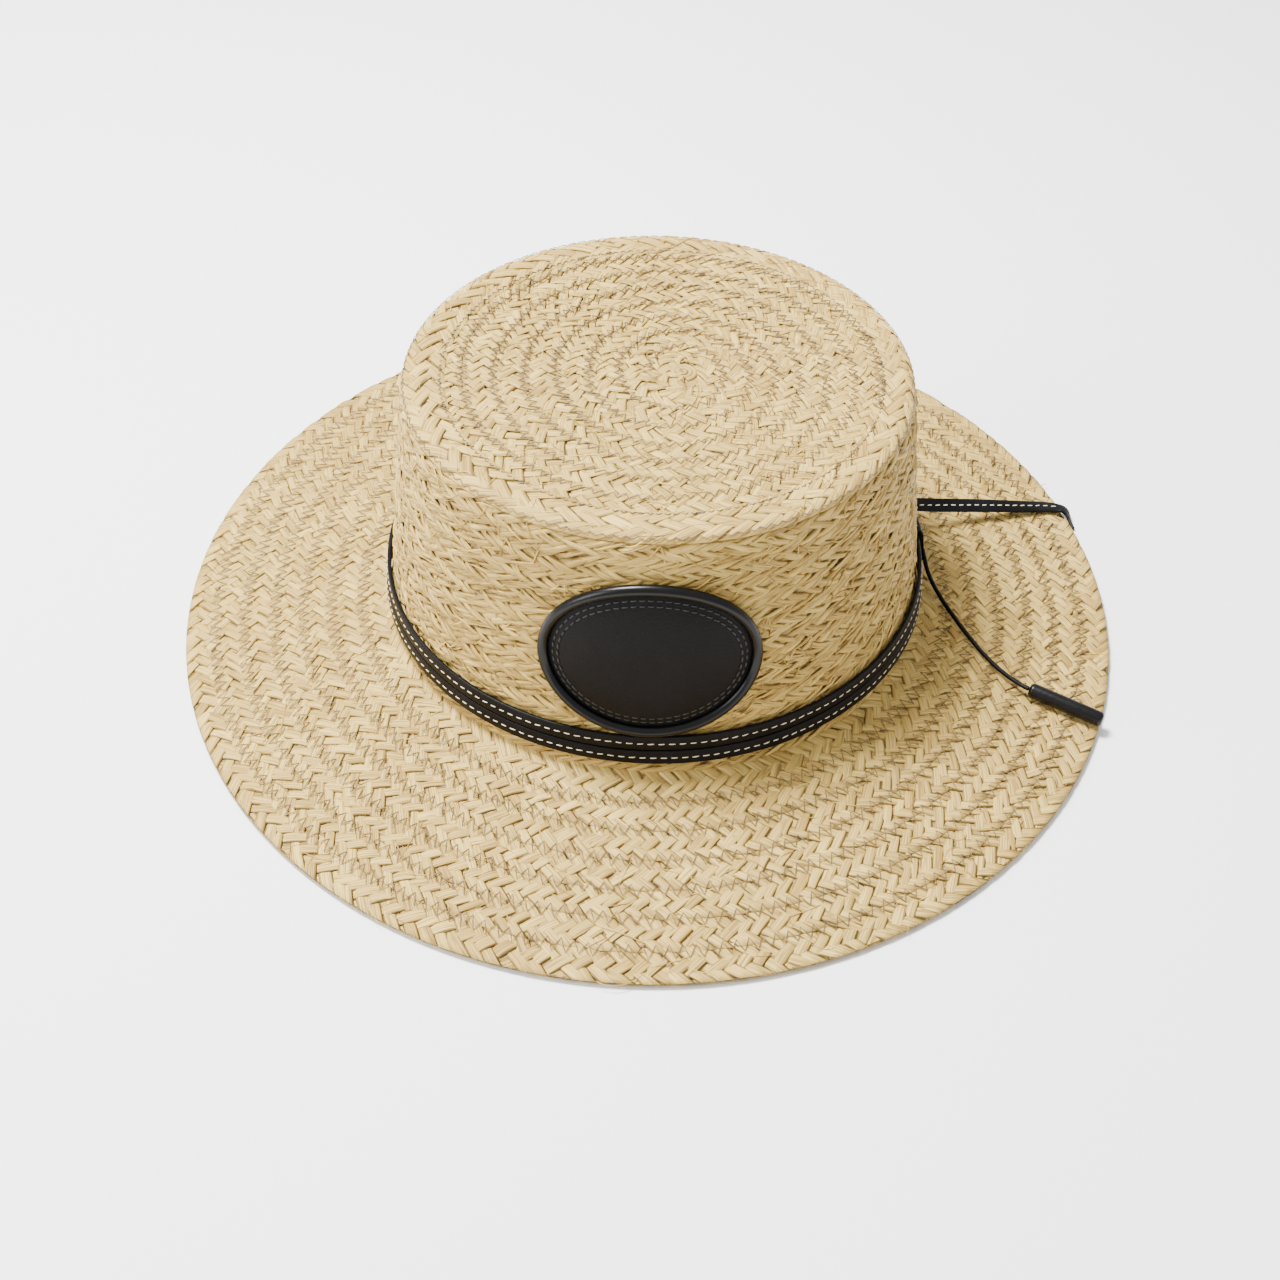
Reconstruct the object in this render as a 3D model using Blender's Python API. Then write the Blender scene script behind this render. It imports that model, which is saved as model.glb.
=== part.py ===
"""A flat crown raffia hat: woven crown and brim, a stitched leather strap round the crown, a lace with a tip
and a plain leather patch. Metres, +Z up, the front of the hat faces -Y. The brim's edge rests on z = 0 and is
centred on the origin."""

import math

import bmesh
import bpy
from mathutils import Vector

MM = 0.001

# Driving sizes in millimetres. Widths run across the hat, lengths from front to back.
CROWN_BASE_WIDTH = 179.0
CROWN_BASE_LENGTH = 193.0
CROWN_TOP_WIDTH = 165.0
CROWN_TOP_LENGTH = 172.0
CROWN_HEIGHT = 85.0
CROWN_SHIFT = 1.9
SHOULDER_RADIUS = 4.0
RIM_ROW = 13.0
RIM_DIP = 1.2
TOP_DISH = 3.2
SPIRAL_SHIFT_X = 8.0
SPIRAL_SHIFT_Y = 7.0
SPIRAL_EYE = 5.0
BRIM_SIDE = 67.1
BRIM_FRONT = 76.8
BRIM_DROP = 9.1
BRIM_FLAT = 5.0
STRAW_WALL = 2.2
WALL_RIB = 0.7
PLAIT_STEP = 0.6
PLAIT_SEAM = 0.9
EDGE_BEVEL = 0.6
BAND_FOOT = 5.0
LAP_HEIGHT = 4.9
LAP_THICKNESS = 1.3
KEEPER_SHELL = 1.5
TAIL_WIDTH = 4.8
TAIL_THICKNESS = 1.2
CORD_DIAMETER = 1.5
TIP_DIAMETER = 5.0
TIP_LENGTH = 25.5
PATCH_WIDTH = 71.0
PATCH_HEIGHT = 54.0
PATCH_THICKNESS = 2.0
PATCH_PADDING = 1.4
PIPING_DIAMETER = 3.4
GAP = 0.3

# Finishes as linear colours
STRAW = (0.72, 0.56, 0.34)
LEATHER = (0.012, 0.011, 0.012)

# Counts
WALL_ROWS = 11
TOP_ROWS = 8
BRIM_ROWS = 7
ROUND_SEGMENTS = 52
PATCH_SEGMENTS = 32
PATCH_RINGS = 4
PIPING_SEGMENTS = 40
PIPING_RESOLUTION = 2
STRAP_SEGMENTS = 8
KEEPER_SEGMENTS = 12
TIP_SEGMENTS = 12
CORD_RESOLUTION = 2
CORD_STEPS = 2
TAIL_STEPS = 2

# Places on the hat. Angles are in degrees round the crown from its right side, positive towards the back.
KEEPER_FROM = 4.0
KEEPER_TO = 12.0
KEEPER_STATIONS = 5
PATCH_ANGLE = -91.0
PATCH_CLEAR_OF_BAND = 1.0
TAIL_ALONG_BAND = 5.0

# Shares of the patch: the smallest ring at its middle and the start of its rounded edge.
PATCH_EYE = 0.06
PATCH_SHOULDER = 0.97

# The strap tail's route over the brim: reach is the share of the brim's width out from the crown, lift is
# the free height under the strap's lower edge in mm, turn is its roll from flat in degrees, and width is a
# share of the strap's own width. Past the brim's edge the lift is below the straw's upper face.
TAIL_COLUMNS = ("angle", "reach", "lift", "turn", "width")
TAIL_ROUTE = (
    (18.6, 0.060, 6.0, 84, 1.0),
    (18.6, 0.120, 5.8, 72, 1.0),
    (18.5, 0.210, 5.2, 58, 1.0),
    (18.5, 0.330, 4.4, 46, 1.0),
    (18.5, 0.480, 3.4, 35, 1.0),
    (18.5, 0.640, 2.2, 25, 1.0),
    (18.5, 0.790, 1.1, 16, 1.0),
    (18.4, 0.910, 0.5, 8, 1.0),
    (18.1, 0.975, 0.4, 0, 1.0),
    (17.5, 1.006, 0.1, -14, 0.85),
    (16.8, 1.017, -1.2, -40, 0.65),
    (15.8, 1.017, -2.3, -66, 0.45),
    (14.8, 1.016, -2.5, -78, 0.30),
)

# The lace cord's route in mm, chosen by eye, from the keeper's front end to the leather tip.
CORD_ROUTE = (
    (93.5, 6.5, 20.3),
    (93.8, 3.2, 19.7),
    (94.5, -0.8, 17.9),
    (96.2, -4.9, 15.2),
    (98.7, -9.8, 13.0),
    (100.4, -13.2, 12.0),
    (102.4, -17.2, 11.2),
    (104.3, -21.3, 10.6),
    (106.3, -25.5, 10.2),
    (108.2, -29.3, 9.8),
    (110.2, -33.0, 9.4),
    (112.3, -36.6, 9.1),
    (114.6, -40.2, 8.8),
    (117.0, -43.5, 8.7),
    (119.4, -46.5, 8.7),
    (121.8, -49.0, 8.7),
    (124.2, -50.9, 8.6),
)
TIP_DIRECTION = (21.8, -10.3, -3.2)


def material(name, colour, roughness):
    """A Principled finish named for its piece; none of the pieces is metal."""
    finish = bpy.data.materials.new(name)
    finish.use_nodes = True
    shader = finish.node_tree.nodes["Principled BSDF"]
    shader.inputs["Base Color"].default_value = (*colour, 1.0)
    shader.inputs["Roughness"].default_value = roughness
    shader.inputs["Metallic"].default_value = 0.0
    return finish


def finish_object(name, mesh, colour, roughness, crease=35.0):
    mesh.shade_smooth()
    mesh.set_sharp_from_angle(angle=math.radians(crease))
    mesh.materials.append(material(name, colour, roughness))
    piece = bpy.data.objects.new(name, mesh)
    bpy.context.scene.collection.objects.link(piece)
    return piece


def swept_mesh(name, stations, place, segments, closed=False, half_turn=False):
    """A ring of points carried through the stations. place(angle, station) gives each point in mm. A closed
    sweep joins its last ring to its first, and an open one is capped at both ends."""
    bm = bmesh.new()
    angle_of = bm.verts.layers.float.new("ring_angle")
    bmesh.ops.create_circle(bm, segments=segments, radius=1.0)
    offset = math.pi / segments if half_turn else 0.0
    for vertex in bm.verts:
        vertex[angle_of] = math.atan2(vertex.co.y, vertex.co.x) + offset
    ring = list(bm.verts)
    first_edges = list(bm.edges)
    edges = first_edges
    for number, station in enumerate(stations):
        if number:
            grown = bmesh.ops.extrude_edge_only(bm, edges=edges)["geom"]
            ring = [part for part in grown if isinstance(part, bmesh.types.BMVert)]
            edges = [part for part in grown if isinstance(part, bmesh.types.BMEdge)]
        for vertex in ring:
            vertex.co = Vector(place(vertex[angle_of], station)) * MM
    if closed:
        bmesh.ops.bridge_loops(bm, edges=first_edges + edges)
    else:
        bmesh.ops.holes_fill(bm, edges=first_edges, sides=0)
        bmesh.ops.holes_fill(bm, edges=edges, sides=0)
    bmesh.ops.recalc_face_normals(bm, faces=bm.faces)
    mesh = bpy.data.meshes.new(name)
    bm.to_mesh(mesh)
    bm.free()
    return mesh


def blend(first, last, share):
    return first + (last - first) * share


def oval(angle, station):
    """A point on a level oval. station is (half width, half length, centre x, centre y, height)."""
    half_width, half_length, centre_x, centre_y, height = station
    return (centre_x + half_width * math.cos(angle), centre_y + half_length * math.sin(angle), height)


def root_height():
    """The brim's upper surface where it meets the crown."""
    return STRAW_WALL + BRIM_DROP


def wall_axes(height):
    """The crown wall's half width and half length at a height above the brim's root."""
    share = height / CROWN_HEIGHT
    half_width = blend(CROWN_BASE_WIDTH, CROWN_TOP_WIDTH, share) / 2
    half_length = blend(CROWN_BASE_LENGTH, CROWN_TOP_LENGTH, share) / 2
    return half_width, half_length


def wall_station(height, out):
    """The level ring round the crown at a height above the brim's root, standing out from the wall."""
    half_width, half_length = wall_axes(height)
    return (half_width + out, half_length + out, CROWN_SHIFT, 0.0, root_height() + height)


def wall_point(angle, height, out):
    return oval(angle, wall_station(height, out))


def brim_station(reach, height):
    """The level ring of the brim at a share of its width out from the crown."""
    half_width = CROWN_BASE_WIDTH / 2 + reach * BRIM_SIDE
    half_length = CROWN_BASE_LENGTH / 2 + reach * BRIM_FRONT
    return (half_width, half_length, CROWN_SHIFT * (1 - reach), 0.0, height)


def brim_height(reach):
    """The height of the brim's upper surface, which slopes evenly down to its edge."""
    return root_height() - BRIM_DROP * reach


def brim_point(angle, reach, lift):
    return oval(angle, brim_station(reach, brim_height(reach) + lift))


def top_station(inset, drop):
    """A ring on the crown's top, inset from the rim; its centre drifts towards the eye of the spiral."""
    half_width = CROWN_TOP_WIDTH / 2 - inset
    half_length = CROWN_TOP_LENGTH / 2 - inset
    drift = inset / (CROWN_TOP_WIDTH / 2)
    centre_x = CROWN_SHIFT + SPIRAL_SHIFT_X * drift
    centre_y = SPIRAL_SHIFT_Y * drift
    return (half_width, half_length, centre_x, centre_y, root_height() + CROWN_HEIGHT - drop)


def crown_wall_stations():
    """The wall's outside from foot to shoulder: each plait row is a rounded rib between two valleys."""
    straight = CROWN_HEIGHT - SHOULDER_RADIUS
    pitch = (straight - GAP) / WALL_ROWS
    stations = []
    for row in range(WALL_ROWS):
        foot = GAP + row * pitch
        stations.append(wall_station(foot, -WALL_RIB if row else 0.0))
        stations.append(wall_station(foot + pitch / 2, 0.0))
    stations.append(wall_station(straight, -WALL_RIB))
    return stations


def shoulder_stations():
    """The rolled shoulder between the wall and the rim of the top, as a quarter round."""
    stations = []
    for degrees in (25, 50, 75):
        turn = math.radians(degrees)
        inset = SHOULDER_RADIUS * (1 - math.cos(turn))
        drop = SHOULDER_RADIUS * (1 - math.sin(turn))
        stations.append(top_station(inset, drop))
    stations.append(top_station(SHOULDER_RADIUS * 1.3, 0.0))
    return stations


def crown_top_stations():
    """The top from the rim row in to the spiral's eye, each row a small step below the one outside it."""
    reach = CROWN_TOP_WIDTH / 2 - SPIRAL_EYE - RIM_ROW
    pitch = reach / (TOP_ROWS - 1)
    stations = [top_station(RIM_ROW - PLAIT_SEAM, RIM_DIP * 0.5)]
    for row in range(TOP_ROWS - 1):
        inset = RIM_ROW + row * pitch
        drop = RIM_DIP + TOP_DISH * math.sin(math.pi / 2 * row / (TOP_ROWS - 1))
        stations.append(top_station(inset, drop + PLAIT_STEP))
        stations.append(top_station(inset + pitch - PLAIT_SEAM, drop + PLAIT_STEP * 0.4))
    stations.append(top_station(RIM_ROW + reach, RIM_DIP + TOP_DISH + PLAIT_STEP))
    return stations


def crown_inside_stations():
    """The hollow, one wall behind the outside, from the eye of the top to the rim and down to the foot."""
    floor_drop = RIM_DIP + TOP_DISH + PLAIT_STEP + STRAW_WALL
    rim_inset = SHOULDER_RADIUS + STRAW_WALL
    stations = [
        top_station(CROWN_TOP_WIDTH / 2 - SPIRAL_EYE, floor_drop),
        top_station(CROWN_TOP_WIDTH / 4, floor_drop - TOP_DISH * 0.3),
        top_station(RIM_ROW, RIM_DIP + PLAIT_STEP + STRAW_WALL),
        top_station(rim_inset, RIM_DIP + STRAW_WALL),
    ]
    inner = -(STRAW_WALL + WALL_RIB)
    for share in (0.92, 0.7, 0.35, 0.0):
        height = blend(GAP, CROWN_HEIGHT - SHOULDER_RADIUS, share)
        stations.append(wall_station(height, inner))
    return stations


def build_crown():
    outside = crown_wall_stations() + shoulder_stations() + crown_top_stations()
    stations = list(reversed(outside)) + list(reversed(crown_inside_stations()))
    mesh = swept_mesh("crown", stations, oval, ROUND_SEGMENTS)
    return finish_object("crown", mesh, STRAW, 0.8)


def build_brim():
    """A sloping ring of overlapped plait rows whose outer edge has a level underside to rest on."""
    inner = -(STRAW_WALL + WALL_RIB) / BRIM_SIDE
    seam = PLAIT_SEAM / BRIM_SIDE
    stations = [brim_station(inner, root_height())]
    for row in range(BRIM_ROWS):
        start = row / BRIM_ROWS + seam
        stop = (row + 1) / BRIM_ROWS - seam
        stations.append(brim_station(start, brim_height(start) - (PLAIT_STEP if row else 0.0)))
        stations.append(brim_station(stop, brim_height(stop)))
    stations.append(brim_station(1.0, STRAW_WALL - EDGE_BEVEL))
    stations.append(brim_station(1.0, EDGE_BEVEL))
    stations.append(brim_station(1.0 - EDGE_BEVEL / BRIM_SIDE, 0.0))
    stations.append(brim_station(1.0 - BRIM_FLAT / BRIM_SIDE, 0.0))
    stations.append(brim_station(0.5, brim_height(0.5) - STRAW_WALL))
    stations.append(brim_station(inner, root_height() - STRAW_WALL))
    mesh = swept_mesh("brim", stations, oval, ROUND_SEGMENTS, closed=True)
    return finish_object("brim", mesh, STRAW, 0.8)


def lap_foot(number):
    """The lower edge of one lap of the strap, counted up from the foot of the crown."""
    return BAND_FOOT + number * (LAP_HEIGHT + GAP)


def build_lap(name, number):
    """One lap of the leather strap: a flat ring round the wall with rounded edges on its outside."""
    low = lap_foot(number)
    high = low + LAP_HEIGHT
    inner = GAP
    outer = GAP + LAP_THICKNESS
    bevel = LAP_THICKNESS * 0.35
    corners = (
        (low, inner),
        (high, inner),
        (high, outer - bevel),
        (high - bevel, outer),
        (low + bevel, outer),
        (low, outer - bevel),
    )
    stations = [wall_station(height, out) for height, out in corners]
    mesh = swept_mesh(name, stations, oval, ROUND_SEGMENTS, closed=True)
    return finish_object(name, mesh, LEATHER, 0.42)


def wall_block(name, angles, low, high, inner, outer, fullness):
    """A short block that follows the wall; fullness rounds its section, and its ends are slightly smaller."""
    middle_height = (low + high) / 2
    middle_out = (inner + outer) / 2

    def place(turn, angle):
        across = math.copysign(abs(math.cos(turn)) ** fullness, math.cos(turn)) * (outer - inner) / 2
        up = math.copysign(abs(math.sin(turn)) ** fullness, math.sin(turn)) * (high - low) / 2
        return wall_point(math.radians(angle), middle_height + up, middle_out + across)

    return swept_mesh(name, angles, place, KEEPER_SEGMENTS, half_turn=True)


def build_keeper():
    """A leather wrap over both laps, open towards the wall where the laps run through it."""
    low = lap_foot(0) - GAP - KEEPER_SHELL
    high = lap_foot(1) + LAP_HEIGHT + GAP + KEEPER_SHELL
    outer = GAP + LAP_THICKNESS + GAP + KEEPER_SHELL
    step = (KEEPER_TO - KEEPER_FROM) / (KEEPER_STATIONS - 1)
    angles = [KEEPER_FROM + number * step for number in range(KEEPER_STATIONS)]
    mesh = wall_block("keeper", angles, low, high, GAP, outer, 0.35)
    keeper = finish_object("keeper", mesh, LEATHER, 0.42)
    past = [KEEPER_FROM - step] + angles + [KEEPER_TO + step]
    cut_low = low + KEEPER_SHELL
    cut_high = high - KEEPER_SHELL
    cut_mesh = wall_block("lap_channel", past, cut_low, cut_high, -GAP, outer - KEEPER_SHELL, 0.1)
    cutter = bpy.data.objects.new("lap_channel", cut_mesh)
    bpy.context.scene.collection.objects.link(cutter)
    cutter.hide_render = True
    cutter.display_type = "WIRE"
    channel = keeper.modifiers.new("lap channel", "BOOLEAN")
    channel.operation = "DIFFERENCE"
    channel.object = cutter
    return keeper


def smooth_curve(points, steps):
    """A Catmull-Rom curve through the points, with steps pieces between each pair."""
    ends = [points[0] * 2 - points[1], *points, points[-1] * 2 - points[-2]]
    curve = []
    for before, start, stop, after in zip(ends, ends[1:], ends[2:], ends[3:]):
        for step in range(steps):
            t = step / steps
            curve.append(
                start
                + (stop - before) * (t / 2)
                + (before * 2 - start * 5 + stop * 4 - after) * (t * t / 2)
                + (start * 3 - before - stop * 3 + after) * (t ** 3 / 2)
            )
    return curve + [points[-1]]


def tail_rows():
    """The strap tail's centre line with its roll and width: along the lap, over the brim, round its edge."""
    out = GAP + LAP_THICKNESS + GAP + TAIL_THICKNESS / 2
    height = lap_foot(1) + LAP_HEIGHT / 2
    start = KEEPER_TO + math.degrees(GAP / (CROWN_BASE_WIDTH / 2))
    rows = []
    for share in (0.0, 0.5, 1.0):
        angle = math.radians(start + TAIL_ALONG_BAND * share)
        away = TAIL_THICKNESS * share * share
        rows.append((Vector(wall_point(angle, height, out + away)), 90.0, 1.0))
    for values in TAIL_ROUTE:
        row = dict(zip(TAIL_COLUMNS, values))
        lean = abs(math.sin(math.radians(row["turn"]))) * TAIL_WIDTH * row["width"] / 2
        lift = row["lift"] + lean + TAIL_THICKNESS / 2
        centre = Vector(brim_point(math.radians(row["angle"]), row["reach"], lift))
        rows.append((centre, row["turn"], row["width"]))
    return rows


def tail_frames():
    """Stations along the strap tail: centre, and half its width and half its thickness as vectors."""
    rows = tail_rows()
    centres = smooth_curve([row[0] for row in rows], TAIL_STEPS)
    rolls = smooth_curve([Vector((row[1], row[2], 0.0)) for row in rows], TAIL_STEPS)
    up = Vector((0.0, 0.0, 1.0))
    frames = []
    for number, (centre, roll) in enumerate(zip(centres, rolls)):
        before = centres[max(number - 1, 0)]
        after = centres[min(number + 1, len(centres) - 1)]
        along = (after - before).normalized()
        flat = up.cross(along).normalized()
        normal = along.cross(flat)
        turn = math.radians(roll.x)
        across = flat * math.cos(turn) + normal * math.sin(turn)
        face = normal * math.cos(turn) - flat * math.sin(turn)
        frames.append((centre, across * (TAIL_WIDTH * roll.y / 2), face * (TAIL_THICKNESS / 2)))
    return frames


def rounded_section(turn, frame):
    """A point on a flat strap's section with rounded corners."""
    centre, across, face = frame
    side = math.copysign(abs(math.cos(turn)) ** (1 / 3), math.cos(turn))
    lift = math.copysign(abs(math.sin(turn)) ** (1 / 3), math.sin(turn))
    return centre + across * side + face * lift


def build_strap_tail():
    mesh = swept_mesh("strap_tail", tail_frames(), rounded_section, STRAP_SEGMENTS, half_turn=True)
    return finish_object("strap_tail", mesh, LEATHER, 0.42, crease=60.0)


def build_lace_cord():
    """The thin lace as a round tube on a smooth curve through its route."""
    curve = bpy.data.curves.new("lace_cord", "CURVE")
    curve.dimensions = "3D"
    curve.bevel_depth = CORD_DIAMETER / 2 * MM
    curve.bevel_resolution = CORD_RESOLUTION
    curve.use_fill_caps = True
    points = smooth_curve([Vector(point) for point in CORD_ROUTE], CORD_STEPS)
    spline = curve.splines.new("POLY")
    spline.points.add(len(points) - 1)
    for slot, point in zip(spline.points, points):
        slot.co = (*(point * MM), 1.0)
    curve.materials.append(material("lace_cord", LEATHER, 0.4))
    lace = bpy.data.objects.new("lace_cord", curve)
    bpy.context.scene.collection.objects.link(lace)
    return lace


def build_cord_tip():
    """The round leather end on the lace, with a rounded mouth and a domed end."""
    radius = TIP_DIAMETER / 2
    along = Vector(TIP_DIRECTION).normalized()
    side = along.cross(Vector((0.0, 0.0, 1.0))).normalized()
    over = side.cross(along)
    start = Vector(CORD_ROUTE[-1]) + along * GAP
    stations = (
        (0.0, 0.72),
        (radius * 0.3, 1.0),
        (TIP_LENGTH - radius * 0.8, 1.0),
        (TIP_LENGTH - radius * 0.3, 0.82),
        (TIP_LENGTH, 0.4),
    )

    def place(turn, station):
        distance, share = station
        return start + along * distance + (side * math.cos(turn) + over * math.sin(turn)) * (radius * share)

    mesh = swept_mesh("cord_tip", stations, place, TIP_SEGMENTS)
    return finish_object("cord_tip", mesh, LEATHER, 0.38, crease=50.0)


def patch_middle_height():
    """The patch's middle above the brim's root: its lower edge sits just over the strap laps."""
    return lap_foot(1) + LAP_HEIGHT + PATCH_CLEAR_OF_BAND + PATCH_HEIGHT / 2


def patch_point(turn, half_width, half_height, out):
    """A point on an oval laid on the front of the crown's wall."""
    height = patch_middle_height() + half_height * math.sin(turn)
    bend = math.degrees(half_width * math.cos(turn) / (CROWN_BASE_WIDTH / 2))
    return wall_point(math.radians(PATCH_ANGLE + bend), height, out)


def build_patch_panel():
    """A padded oval of leather that follows the wall."""
    border = PIPING_DIAMETER + GAP
    half_width = PATCH_WIDTH / 2 - border
    half_height = PATCH_HEIGHT / 2 - border
    top = GAP + PATCH_THICKNESS
    shares = [blend(PATCH_EYE, 1.0, number / PATCH_RINGS) for number in range(PATCH_RINGS + 1)]
    front = [(share, top + PATCH_PADDING * (1 - share ** 4)) for share in shares[:-1]]
    edge = [(PATCH_SHOULDER, top), (1.0, GAP + PATCH_THICKNESS / 2)]
    back = [(share, GAP) for share in reversed(shares)]

    def place(turn, station):
        share, out = station
        return patch_point(turn, half_width * share, half_height * share, out)

    mesh = swept_mesh("patch_panel", front + edge + back, place, PATCH_SEGMENTS)
    return finish_object("patch_panel", mesh, LEATHER, 0.4)


def build_patch_piping():
    """A rolled leather edge round the panel: a closed round tube that follows the wall."""
    radius = PIPING_DIAMETER / 2
    half_width = PATCH_WIDTH / 2 - radius
    half_height = PATCH_HEIGHT / 2 - radius
    curve = bpy.data.curves.new("patch_piping", "CURVE")
    curve.dimensions = "3D"
    curve.bevel_depth = radius * MM
    curve.bevel_resolution = PIPING_RESOLUTION
    spline = curve.splines.new("POLY")
    spline.points.add(PIPING_SEGMENTS - 1)
    spline.use_cyclic_u = True
    for number, slot in enumerate(spline.points):
        turn = 2 * math.pi * number / PIPING_SEGMENTS
        point = Vector(patch_point(turn, half_width, half_height, GAP + radius))
        slot.co = (*(point * MM), 1.0)
    curve.materials.append(material("patch_piping", LEATHER, 0.3))
    piping = bpy.data.objects.new("patch_piping", curve)
    bpy.context.scene.collection.objects.link(piping)
    return piping


def clear_scene():
    for item in list(bpy.data.objects):
        bpy.data.objects.remove(item)


def main():
    clear_scene()
    build_crown()
    build_brim()
    build_lap("band_lower", 0)
    build_lap("band_upper", 1)
    build_keeper()
    build_strap_tail()
    build_lace_cord()
    build_cord_tip()
    build_patch_panel()
    build_patch_piping()


main()
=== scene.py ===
"""Dresses the flat crown raffia hat: plaited straw sewn row to row, a stitched leather strap wound twice
round the crown with a loose tail, a lace with a leather tip, a plain padded patch, and soft studio light."""

import math

import bpy
import numpy as np
from mathutils import Matrix, Vector


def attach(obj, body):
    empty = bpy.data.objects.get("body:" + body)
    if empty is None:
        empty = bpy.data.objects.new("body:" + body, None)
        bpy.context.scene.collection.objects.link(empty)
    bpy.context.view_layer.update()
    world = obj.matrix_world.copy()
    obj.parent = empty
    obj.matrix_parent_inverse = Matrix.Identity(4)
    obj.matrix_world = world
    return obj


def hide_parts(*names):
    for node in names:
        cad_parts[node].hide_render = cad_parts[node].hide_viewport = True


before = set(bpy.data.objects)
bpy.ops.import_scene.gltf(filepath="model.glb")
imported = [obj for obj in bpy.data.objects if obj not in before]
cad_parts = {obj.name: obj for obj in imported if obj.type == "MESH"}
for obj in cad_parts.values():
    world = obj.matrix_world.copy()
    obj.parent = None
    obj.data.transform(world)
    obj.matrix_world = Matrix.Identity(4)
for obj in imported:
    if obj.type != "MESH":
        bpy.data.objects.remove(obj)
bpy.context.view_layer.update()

bl_info = {
    "name": "Raffia Hat Looks",
    "version": (1, 0, 0),
    "blender": (4, 5, 0),
    "location": "View3D > Sidebar > Raffia Hat",
    "description": "Plaited straw, sewing thread and leather trim for a flat crown raffia hat",
    "category": "Object",
}

ROUND = (0.0, 2 * math.pi)

# The hat's own sizes in metres, the same as in the part's source.
CROWN_SHIFT = 0.0019
CROWN_HEIGHT = 0.085
CROWN_BASE = (0.0895, 0.0965)
CROWN_TOP = (0.0825, 0.086)
BRIM_REACH = (0.0671, 0.0768)
BRIM_DROP = 0.0091
ROOT = 0.0113
SHOULDER = 0.004
RIM_ROW = 0.013
RIM_DIP = 0.0012
TOP_DISH = 0.0032
SPIRAL_SHIFT = (0.008, 0.007)
SPIRAL_EYE = 0.005
WALL_FOOT = 0.0003
WALL_ROWS = 11
WALL_PITCH = (CROWN_HEIGHT - SHOULDER - WALL_FOOT) / WALL_ROWS
BRIM_ROWS = 7
BRIM_PITCH = 0.0103
TOP_ROWS = 7
TOP_PITCH = (CROWN_TOP[0] - SPIRAL_EYE - RIM_ROW) / TOP_ROWS
LAP_FOOTS = (0.005, 0.0102)
LAP_HEIGHT = 0.0049
LAP_THICKNESS = 0.0013
GAP = 0.0003
KEEPER_ANGLES = (4.0, 12.0)
KEEPER_HEIGHTS = (0.0032, 0.0169)
TAIL_WIDTH = 0.0048
TAIL_THICKNESS = 0.0012
CORD_DIAMETER = 0.0015
TIP_DIAMETER = 0.005
TIP_LENGTH = 0.0255
TIP_DIRECTION = Vector((21.8, -10.3, -3.2)).normalized()
PATCH_ANGLE = -91.0
PATCH_MIDDLE = 0.0431
PATCH_SIZE = (0.071, 0.054)
PATCH_THICKNESS = 0.002
PIPING_DIAMETER = 0.0034

# How far one row of plait sinks below the next at its seam, how wide the hidden lap of two rows is, and how
# far the straw flares where the crown meets the brim.
BRIM_STEP = 0.0002
TOP_STEP = 0.0003
BRIM_LAP = 0.0016
TOP_LAP = 0.0014
WALL_LAP = 0.0006
FOOT_FLARE = 0.0009

# How far the lowest strips of a plait lie below the solids' surface, and of the wall's plait.
PLAIT_SINK = 0.0007
WALL_SINK = 0.0013

# The patch: how far the piping covers its pad, how high the pad's foot is as a share of its thickness, how
# far its middle bulges, and how flat that bulge is.
PATCH_BORDER = PIPING_DIAMETER * 0.8
PAD_FOOT = 0.55
PAD_BULGE = 0.0016
PAD_FLATNESS = 3.2
PAD_SPREAD = 0.8

# The strap tail over the brim: degrees round the hat, share of the brim's width, free height in mm, roll in
# degrees, share of the strap's width.
TAIL_COLUMNS = ("angle", "reach", "lift", "turn", "width")
TAIL_ROUTE = (
    (18.6, 0.060, 6.0, 84, 1.0),
    (18.6, 0.120, 5.8, 72, 1.0),
    (18.5, 0.210, 5.2, 58, 1.0),
    (18.5, 0.330, 4.4, 46, 1.0),
    (18.5, 0.480, 3.4, 35, 1.0),
    (18.5, 0.640, 2.2, 25, 1.0),
    (18.5, 0.790, 1.1, 16, 1.0),
    (18.4, 0.910, 0.5, 8, 1.0),
    (18.1, 0.975, 0.4, 0, 1.0),
    (17.5, 1.006, 0.1, -14, 0.85),
    (16.8, 1.017, -1.2, -40, 0.65),
    (15.8, 1.017, -2.3, -66, 0.45),
    (14.8, 1.016, -2.5, -78, 0.30),
)

# The lace from the strap to its tip, in millimetres, as in the part's source.
CORD_ROUTE = (
    (93.5, 6.5, 20.3),
    (93.8, 3.2, 19.7),
    (94.5, -0.8, 17.9),
    (96.2, -4.9, 15.2),
    (98.7, -9.8, 13.0),
    (100.4, -13.2, 12.0),
    (102.4, -17.2, 11.2),
    (104.3, -21.3, 10.6),
    (106.3, -25.5, 10.2),
    (108.2, -29.3, 9.8),
    (110.2, -33.0, 9.4),
    (112.3, -36.6, 9.1),
    (114.6, -40.2, 8.8),
    (117.0, -43.5, 8.7),
    (119.4, -46.5, 8.7),
    (121.8, -49.0, 8.7),
    (124.2, -50.9, 8.6),
)

# Where a strip turns over the row's edge: share of the row's width in from the edge, level in the plait from
# -1 under to 1 on top, and the lean of the strip's face from up, in degrees.
STRIP_FOLD = ((0.05, -0.90, 180.0), (-0.012, 0.00, 90.0), (0.03, 0.85, 20.0))

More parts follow.
